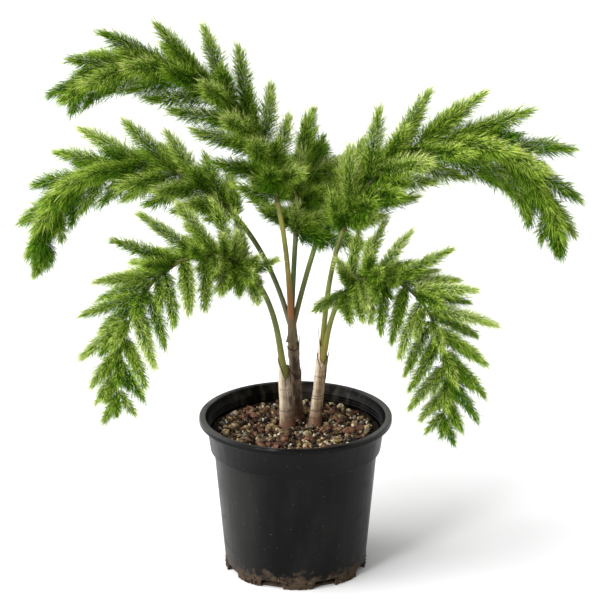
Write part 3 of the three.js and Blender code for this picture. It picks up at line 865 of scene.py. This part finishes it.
class Arch:
    """The line that a leaf's stalk and rib follow, in one upright plane."""

    STEPS = 240

    def __init__(self, leaf):
        vars(self).update(LEAVES[leaf])
        turn = math.radians(self.azimuth)
        self.outward = np.array([math.cos(turn), math.sin(turn), 0])
        self.flank = np.cross(self.outward, (0, 0, 1))
        x, y = STEMS[self.stem]["top"]
        clear = STALK_GAP + self.stalk * math.cos(math.radians(self.climb))
        stands_at = MIX_FACE + STEMS[self.stem]["rise"] + clear
        foot = np.array([x + self.stand[0], y + self.stand[1], stands_at])
        middles = (np.arange(self.STEPS) + 0.5) * self.length / self.STEPS
        walked = np.cumsum(self.run(middles) * self.length / self.STEPS, axis=0)
        self.points = np.vstack([foot, foot + walked])
        self.marks = np.linspace(0, self.length, self.STEPS + 1)

    def run(self, distance):
        """The direction of growth at distances along the leaf."""
        share = np.clip(np.asarray(distance) / self.length, 1e-6, 1 - 1e-6)
        before = (1 - share) / share * self.bend / (1 - self.bend)
        angle = np.radians(self.climb + (self.fall - self.climb) / (1 + before**self.snap))
        return np.cos(angle)[..., None] * self.outward + np.sin(angle)[..., None] * np.array([0, 0, 1])

    def place(self, distance):
        on_arch = [np.interp(distance, self.marks, self.points[:, axis]) for axis in range(3)]
        before_foot = np.minimum(distance, 0)
        return np.stack(on_arch, axis=-1) + before_foot[..., None] * self.run(0.0)

    def over(self, distance):
        """The leaf's upper side at distances along it."""
        return np.cross(self.flank, self.run(distance))


def bent_rod(arch, start, end, radius_at, ring, steps, channel):
    """A turned rod laid along an arch, with a channel pressed into its upper side."""
    rings = np.linspace(start, end, max(3, round((end - start) / ring)))
    bm = turned([(0, start), *((1, distance) for distance in rings), (0, end)], steps)
    along = np.array([vertex.co for vertex in bm.verts])
    distance = along[:, 2]
    upper = np.clip(along[:, 1], 0, 1) ** 4
    reach = radius_at(arch, distance) * (1 - channel * upper)
    sides = along[:, :1] * arch.flank + along[:, 1:2] * arch.over(distance)
    for vertex, place in zip(bm.verts, arch.place(distance) + sides * reach[:, None]):
        vertex.co = place
    return bm


def stalk_radius(arch, distance):
    taper = mixed(arch.stalk, STALK_END, np.sqrt(np.clip(distance / arch.bare, 0, 1)))
    return taper * (1 + CLASP_SWELL * np.exp(-np.maximum(distance, 0) / CLASP_LENGTH))


def stalk_finish(leaf, arch):
    finish = Finish(f"stalk_of_{leaf}", {"Specular IOR Level": 0.4})
    low, high = (corner.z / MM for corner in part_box(f"petiole_{leaf}"))
    height = finish.along("Z")
    stripes = finish.cloud(1.6, 3.0, (1, 1, 14))
    flush = finish.cloud(24, 3.0)
    clasp, foot, shaft = arch.colours
    ripe = [part * STALK_RIPENS for part in shaft]
    shaft = finish.blend(flush.between(0.35, 0.7), shaft, ripe)
    foot = finish.blend(height.between(low - 6, low + 8), clasp, foot)
    colour = finish.blend(height.between(low, mixed(low, high, 0.55)), foot, shaft)
    colour = finish.blend(stripes.between(0.5, 0.8) * 0.35, colour, STALK_STRIPE)
    finish.set({"Base Color": colour, "Roughness": 0.4 + stripes * 0.2})
    finish.relief(stripes, 0.25)
    return finish


ARCHES = {leaf: Arch(leaf) for leaf in LEAVES}
for leaf, arch in ARCHES.items():
    clasp = -CLASP_DEPTH[arch.stem]
    rod = bent_rod(arch, clasp, arch.bare, stalk_radius, STALK_RING, STALK_STEPS, STALK_CHANNEL)
    stalk = piece(f"leaf_stalk_{leaf}", rod, stalk_finish(leaf, arch), sharp=60)
    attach(stalk, "root")
    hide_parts(f"petiole_{leaf}")


# Ribs: each leaf's stalk runs on as a thinning rib that bends over to the leaf's tip. It is green, browner
# where plumes have been shed, and carries a plume's root every finger's width.
RIB_FOOT = 3.8
RIB_TIP = 1.2
RIB_STEPS = 10
RIB_RING = 5
RIB_CHANNEL = 0.15
RIB_GREEN = (64, 70, 26)
RIB_BROWN = (104, 92, 44)
RIB_STRIPE = (52, 44, 22)


def rib_radius(arch, distance):
    return mixed(RIB_FOOT, RIB_TIP, (distance - arch.bare) / (arch.length - arch.bare))


def rib_finish():
    finish = Finish("rib", {"Roughness": 0.5, "Specular IOR Level": 0.35})
    patches = finish.cloud(22, 3.0)
    stripes = finish.cloud(1.5, 2.0)
    colour = finish.blend(patches.between(0.4, 0.65), RIB_GREEN, RIB_BROWN)
    finish.set({"Base Color": finish.blend(stripes.between(0.5, 0.8) * 0.4, colour, RIB_STRIPE)})
    finish.relief(stripes, 0.3)
    return finish


def frond_nodes(leaf):
    """The nodes that stand for a leaf's frond, which may be split where it bends over."""
    parts = [f"frond_{leaf}{part}" for part in ("", "_inner", "_outer")]
    return [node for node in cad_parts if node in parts]


RIB = rib_finish()
for leaf, arch in ARCHES.items():
    rod = bent_rod(arch, arch.bare, arch.length, rib_radius, RIB_RING, RIB_STEPS, RIB_CHANNEL)
    rib = piece(f"rib_{leaf}", rod, RIB, sharp=60)
    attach(rib, "root")
    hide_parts(*frond_nodes(leaf))


# Plumes: bottlebrush side branches that stand in ranks round each rib, raked towards its tip, with short
# ones between the ranks, painted darker there as shade, and a few crowded round the leaf's foot. Each is a
# wiry twig clothed all round in soft flat needles that sweep forward and curl in to a point, dark at their
# roots and pale at their points, partly from their own green and partly as painted shade inside the plume
# and painted light on its outside. Needles that point up are painted lighter and those that point down
# darker, as light and shade.
# plumes that cover the gaps are painted darker on the upper leaves, as the shade between the ranks
UPPER_LEAF = dict(
    ranks=(90, 270, -10, 190), spread=14, flare=0, foot_swell=0.01, burst=1, fill=14,
    cover=(45, 225, 135, 315), cover_tone=-0.8,
)
LOW_LEAF = dict(spread=30, flare=16, foot_swell=0.16, burst=9, fill=16, cover_tone=-0.1)
PLUMES = {
    # how many plumes stand in the ranks and the longest one's length, the ranks' turns about the rib from
    # its flank, how much further plumes lean out on the flanks (spread) and above and below (flare), how
    # full they are at the leaf's foot, how many burst round the foot and fill the gaps, the turns of those
    # that cover the gaps and the painted shade that darkens them, and how fresh the green is together with
    # the painted light that brightens the lit leaves
    "left_low": dict(
        LOW_LEAF, plumes=33, plume=110, seed=11, ranks=(-4, 212, 62), cover=(200, 150, 230, 120), fresh=0.6
    ),
    "left_top": dict(
        UPPER_LEAF, plumes=34, plume=124, seed=12, ranks=(90, 270, -8, 188), burst=3, fresh=0.2
    ),
    "left_mid": dict(UPPER_LEAF, plumes=36, plume=108, seed=14, fresh=0.35),
    "back": dict(UPPER_LEAF, plumes=30, plume=114, seed=13, spread=20, burst=5, fill=12, fresh=0.0),
    "back_right": dict(UPPER_LEAF, plumes=16, plume=80, seed=15, spread=20, fill=6, fresh=0.1),
    "right_top": dict(UPPER_LEAF, plumes=36, plume=126, seed=16, fresh=0.15),
    "right_low": dict(
        LOW_LEAF, plumes=33, plume=112, seed=17, ranks=(184, 328, 118), cover=(-20, 30, -50, 60), fresh=0.5
    ),
}
FILL_SCALE = 0.64
FILL_SEED = 100
PLUME_CROWDING = 1.2
PLUME_TURNS = 20
PLUME_SWELL = (0.7, 0.6)
PLUME_LEAST = 0.34
PLUME_LENGTHS = 0.16
PLUME_SUNK = 1.5
PLUME_SWEEP = 0.08
PLUME_CLEAR = 6
PLUME_TUFT = 17
UNDER_SHORTER = 0.12
FOOT_LEAN = (54, -12)
TIP_LEAN = (24, -4, 12)
TIP_ASIDE = 0.6
LEAN_FADE = 1.5
LEAN_VARIES = 6
BURST_REACH = 65
BURST_LEAN = (90, 56)
BURST_LEAN_VARIES = 8
BURST_LENGTHS = (0.8, 1.0)
BURST_SHORTER = 0.4
TWIG_SHORTEST = 14
TWIG_RADIUS = (1.4, 0.4)
TWIG_SIDES = 4
TWIG_RINGS = 6
TWIG_END = 0.97
TWIG_FULL = 80
NEEDLES_PER_MM = 19.0
NEEDLE_FIRST = 3
NEEDLE_FIRST_SHARE = 0.03
NEEDLE_TURNS = 0.3
NEEDLE_LEAST = 6
NEEDLE_PER_GAP = 0.42
NEEDLE_ON_SHORT_TWIG = 0.6
NEEDLE_LENGTHS = (0.55, 0.4, 0.4)
NEEDLE_STRAYS = 5
NEEDLE_LEAN = (48, 42)
NEEDLE_LEAN_VARIES = 9
NEEDLE_VARIES = 0.05
NEEDLE_WIDEST = 0.55
NEEDLE_BOW = (0.06, -0.04)
NEEDLE_DROOP = 0.05
NEEDLE_WIDTH = 0.66
NEEDLE_WIDTHS = (0.8, 1.15)
NEEDLE_CORNERS = 4
TUFT_FROM = 0.7
TUFT_SHORTER = 0.6
TUFT_CLOSER = 0.8
PLUME_TONES = (-0.3, 1.2)
BURST_TONE = 0.2
NEEDLE_TONES = 0.5
END_TONE = 1.0
# painted light and shade: needles that point up are lighter, those that point down darker
UPWARD_PAINTED_LIGHT = 0.9
# roots darker and points paler: partly the needles' own green, partly painted shade inside the plume and
# painted light on its outside
ROOT_TONE_AND_SHADE = -0.7
POINT_TONE_AND_LIGHT = 1.5
NEEDLE_GREENS = {
    "needle_shade": (33, 72, 2),
    "needle_deep": (72, 120, 10),
    "needle_green": (126, 163, 40),
    "needle_fresh": (183, 203, 88),
    "needle_pale": (216, 224, 146),
}
TWIG_COLOUR = (48, 74, 12)


def seeded_random(seed):
    """A run of numbers from 0 up to 1 that is the same every time for the same seed."""
    state = seed
    while True:
        state = (state * 1664525 + 1013904223) % 2**32
        yield state / 2**32


def plumes_of(arch, count, ranks, seed, scale):
    """A leaf's plumes from its stalk out: each one's distance along the leaf, turn, lean and length."""
    random = seeded_random(seed)
    for i in range(count + 1):
        last = i == count
        share = 1 if last else ((i + 0.5) / count) ** PLUME_CROWDING
        turn = math.radians(ranks[i % len(ranks)] + (next(random) - 0.5) * PLUME_TURNS)
        upper = math.sin(turn)
        under = max(0, -upper)
        aside = mixed(arch.spread, arch.flare, upper**2)
        foot_lean = FOOT_LEAN[0] + FOOT_LEAN[1] * upper + aside
        tip_lean = TIP_LEAN[0] + TIP_LEAN[1] * upper + TIP_LEAN[2] * under + aside * TIP_ASIDE
        lean = mixed(tip_lean, foot_lean, (1 - share) ** LEAN_FADE) + (next(random) - 0.5) * LEAN_VARIES
        swell = 0
        if not last:
            swell = math.sin(math.pi * max(share, arch.foot_swell) ** PLUME_SWELL[0]) ** PLUME_SWELL[1]
        length = arch.plume * mixed(PLUME_LEAST, 1, swell) * (1 - UNDER_SHORTER * under)
        length *= 1 + (next(random) - 0.5) * PLUME_LENGTHS
        distance = min(mixed(arch.bare, arch.length, share), arch.length - PLUME_CLEAR)
        yield distance, turn, 0 if last else math.radians(lean), length * scale


def burst_of(arch, rng):
    """The plumes that crowd round a leaf's foot and point all ways, some of them back past the stalk."""
    for i in range(arch.burst):
        share = (i + 0.5) / arch.burst
        lean = math.radians(mixed(*BURST_LEAN, share) + rng.normal(0, BURST_LEAN_VARIES))
        turn = i * GOLDEN_ANGLE
        length = arch.plume * rng.uniform(*BURST_LENGTHS) * (1 - BURST_SHORTER * abs(math.sin(turn)))
        yield arch.bare + BURST_REACH * share, turn, lean, length


class Twig:
    """A plume's twig: a curve from its root in the rib, and the directions across it."""

    def __init__(self, arch, distance, turn, lean, length):
        run, over = arch.run(distance), arch.over(distance)
        outward = arch.flank * math.cos(turn) + over * math.sin(turn)
        self.across = np.cross(run, outward)
        self.axis = run * math.cos(lean) + outward * math.sin(lean)
        self.back = np.cross(self.across, self.axis)
        self.root = arch.place(distance)
        self.length = max(TWIG_SHORTEST, length - PLUME_TUFT)

    def middle(self, share):
        climb = share * (self.length + PLUME_SUNK) - PLUME_SUNK
        sweep = -PLUME_SWEEP * self.length * share**2
        return self.root + climb[..., None] * self.axis + sweep[..., None] * self.back

    def run(self, share):
        run = self.axis - (2 * PLUME_SWEEP * share)[..., None] * self.back
        return run / np.linalg.norm(run, axis=-1, keepdims=True)

    def outward(self, angle):
        return np.cos(angle)[..., None] * self.back + np.sin(angle)[..., None] * self.across


def twig_corners(twig):
    """A twig's rings of corners, from its root to near its end."""
    share = np.repeat(np.linspace(0, TWIG_END, TWIG_RINGS), TWIG_SIDES)
    angle = np.tile(np.arange(TWIG_SIDES) * math.tau / TWIG_SIDES, TWIG_RINGS)
    return twig.middle(share) + twig.outward(angle) * mixed(*TWIG_RADIUS, share)[:, None]


def twig_faces():
    """The triangles between a twig's rings of corners."""
    low = np.arange((TWIG_RINGS - 1) * TWIG_SIDES)
    beside = low - low % TWIG_SIDES + (low + 1) % TWIG_SIDES
    above, across = low + TWIG_SIDES, beside + TWIG_SIDES
    return np.stack([low, beside, across, low, across, above], axis=1).reshape(-1, 3)


def needle_blades(twig, usual, rng):
    """Each needle's root, the two corners at its widest place, and its point, with its share up the twig."""
    count = int(NEEDLES_PER_MM * twig.length)
    order = (np.arange(count) + rng.random(count)) / count
    share = mixed(min(NEEDLE_FIRST_SHARE, NEEDLE_FIRST / twig.length), 1.0, order)
    angle = np.arange(count) * GOLDEN_ANGLE + rng.normal(0, NEEDLE_TURNS, count)
    run, out = twig.run(share), twig.outward(angle)
    tuft = np.clip((share - TUFT_FROM) / (1 - TUFT_FROM), 0, 1)
    chance = rng.random(count)
    least, more, stray = NEEDLE_LENGTHS
    longest = usual * mixed(NEEDLE_ON_SHORT_TWIG, 1, min(1, twig.length / TWIG_FULL))
    length = longest * (least + more * chance + stray * chance**NEEDLE_STRAYS)
    length *= 1 - TUFT_SHORTER * tuft * (1 - chance)
    lean = mixed(*NEEDLE_LEAN, share) * (1 - TUFT_CLOSER * tuft) + rng.normal(0, NEEDLE_LEAN_VARIES, count)
    lean = np.radians(lean)
    blade = (out * np.sin(lean)[:, None] + run * np.cos(lean)[:, None]) * length[:, None]
    blade += rng.normal(0, NEEDLE_VARIES, (count, 3)) * length[:, None]
    root = twig.middle(share)
    widest = root + NEEDLE_WIDEST * blade + (out * NEEDLE_BOW[0] + run * NEEDLE_BOW[1]) * length[:, None]
    point = root + blade
    point[:, 2] -= NEEDLE_DROOP * length
    side = np.cross(blade, rng.normal(0, 1, (count, 3)))
    width = NEEDLE_WIDTH * rng.uniform(*NEEDLE_WIDTHS, count)
    side *= (width / 2 / np.linalg.norm(side, axis=1))[:, None]
    return np.stack([root, widest - side, widest + side, point], axis=1), share


def needle_shades(blades, share, tone, rng):
    """The greens of each needle's root and point: paler near its plume's end, with painted light where it
    points up and painted shade where it points down.
    """
    reach = blades[:, 3] - blades[:, 0]
    upward = reach[:, 2] / np.linalg.norm(reach, axis=1)
    level = tone + rng.uniform(*PLUME_TONES) + rng.normal(0, NEEDLE_TONES, len(share))
    # painted light on upward needles and painted shade on downward ones
    level += END_TONE * share + UPWARD_PAINTED_LIGHT * upward
    # root and point greens: partly their own, partly painted shade within the plume and painted light
    # outside
    return np.floor(np.clip(np.stack([level + ROOT_TONE_AND_SHADE, level + POINT_TONE_AND_LIGHT], axis=1), 0, len(GREENS) - 1))


def plumage(arch):
    """The needles of a leaf, the greens of each needle's two triangles, and the corners of its twigs."""
    rng = np.random.default_rng(arch.seed)
    gap = (arch.length - arch.bare) * len(arch.ranks) / arch.plumes
    usual = NEEDLE_LEAST + NEEDLE_PER_GAP * gap
    ranked = [*plumes_of(arch, arch.plumes, arch.ranks, arch.seed, 1.0)]
    crowded = [*burst_of(arch, rng)]
    between = [*plumes_of(arch, arch.fill, arch.cover, arch.seed + FILL_SEED, FILL_SCALE)]
    needles, shades, twigs = [], [], []
    # cover plumes get painted shade; burst plumes a paler green
    for tone, sprays in ((0, ranked), (BURST_TONE, crowded), (arch.cover_tone, between)):
        for spray in sprays:
            twig = Twig(arch, *spray)
            blades, share = needle_blades(twig, usual, rng)
            needles.append(blades)
            # the leaf's tone: partly its own fresher green, partly painted light that brightens the lit low
            # leaves and leaves the back leaf darker
            shades.append(needle_shades(blades, share, tone + arch.fresh, rng))
            twigs.append(twig_corners(twig))
    return np.concatenate(needles), np.concatenate(shades), np.array(twigs)


BLADE_FACES = np.array([(0, 2, 1), (1, 2, 3)])
TWIG_FACES = twig_faces()
GREENS = [
    Finish(name, {"Base Color": tint(*colour), "Roughness": 0.6, "Specular IOR Level": 0.08})
    for name, colour in NEEDLE_GREENS.items()
]
TWIG_WOOD = Finish("twig", {"Base Color": tint(*TWIG_COLOUR), "Roughness": 0.6})
for leaf, arch in ARCHES.items():
    vars(arch).update(PLUMES[leaf])
    needles, shades, twigs = plumage(arch)
    faces = repeated(BLADE_FACES, NEEDLE_CORNERS, len(needles))
    brush = joined_piece(f"needles_{leaf}", needles.reshape(-1, 3), faces, GREENS, shades.ravel())
    faces = repeated(TWIG_FACES, TWIG_RINGS * TWIG_SIDES, len(twigs))
    wood = np.zeros(len(faces))
    sticks = joined_piece(f"twigs_{leaf}", twigs.reshape(-1, 3), faces, [TWIG_WOOD], wood, smooth=True)
    for made in (brush, sticks):
        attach(made, "root")
        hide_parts(*frond_nodes(leaf))


# Stage: a plain pale floor, a wide soft sun from the upper left, a narrower light lower down on that side,
# a white surround that dims from left to right, and a camera that looks a little down from far off.
FLOOR_SIDE = 16
FLOOR_DROP = 0.0004
FLOOR_WHITE = (0.96, 0.96, 0.96, 1)
LIGHTS = (
    # name, strength, height and azimuth that it comes from in degrees, spread in degrees
    ("soft_sun", 2.75, 47, 196, 60),
    ("side_light", 1.5, 24, 234, 14),
)
SURROUND = (1.15, 0.3)
CAMERA_AIM = (0.0064, 0, 0.4095)
CAMERA_DISTANCE = 6.0
CAMERA_ELEVATION = 19.8
CAMERA_LENS = 250.6

bm = bmesh.new()
bmesh.ops.create_grid(bm, x_segments=1, y_segments=1, size=FLOOR_SIDE / 2 / MM)
bmesh.ops.translate(bm, vec=(0, 0, -FLOOR_DROP / MM), verts=bm.verts)
paint = Finish("pale_floor", {"Base Color": FLOOR_WHITE, "Roughness": 0.9, "Specular IOR Level": 0.1})
floor = piece("pale_floor", bm, paint)
floor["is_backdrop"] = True

for name, strength, height, azimuth, spread in LIGHTS:
    sun = placed(name, bpy.data.lights.new(name, "SUN"))
    sun.data.energy = strength
    sun.data.angle = math.radians(spread)
    turn, rise = math.radians(azimuth), math.radians(height)
    toward = Vector((math.cos(turn) * math.cos(rise), math.sin(turn) * math.cos(rise), math.sin(rise)))
    sun.rotation_mode = "QUATERNION"
    sun.rotation_quaternion = toward.to_track_quat("Z", "Y")

world = bpy.data.worlds.new("white_surround")
bpy.context.scene.world = world
world.use_nodes = True
surround = Nodes(world.node_tree)
direction = surround.node("ShaderNodeTexCoord", {}, {}, "Generated")
to_right = surround.node("ShaderNodeSeparateXYZ", {}, {0: direction}, "X")
dimming = {"Value": to_right, "From Min": -1, "To Min": SURROUND[0], "To Max": SURROUND[1]}
background = world.node_tree.nodes["Background"].inputs
surround.feed(background["Strength"], surround.node("ShaderNodeMapRange", {}, dimming))
surround.feed(background["Color"], (1, 1, 1, 1))
bpy.context.scene.view_settings.view_transform = "Standard"

camera = placed("camera", bpy.data.cameras.new("camera"))
camera.data.lens = CAMERA_LENS
elevation = math.radians(CAMERA_ELEVATION)
behind = Vector((0, -math.cos(elevation), math.sin(elevation)))
camera.location = Vector(CAMERA_AIM) + behind * CAMERA_DISTANCE
camera.rotation_mode = "QUATERNION"
camera.rotation_quaternion = (-behind).to_track_quat("-Z", "Y")
bpy.context.scene.camera = camera

boxes = {"cad": cad_box, "visual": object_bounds()}
{name: [list(corner) for corner in box] for name, box in boxes.items()}
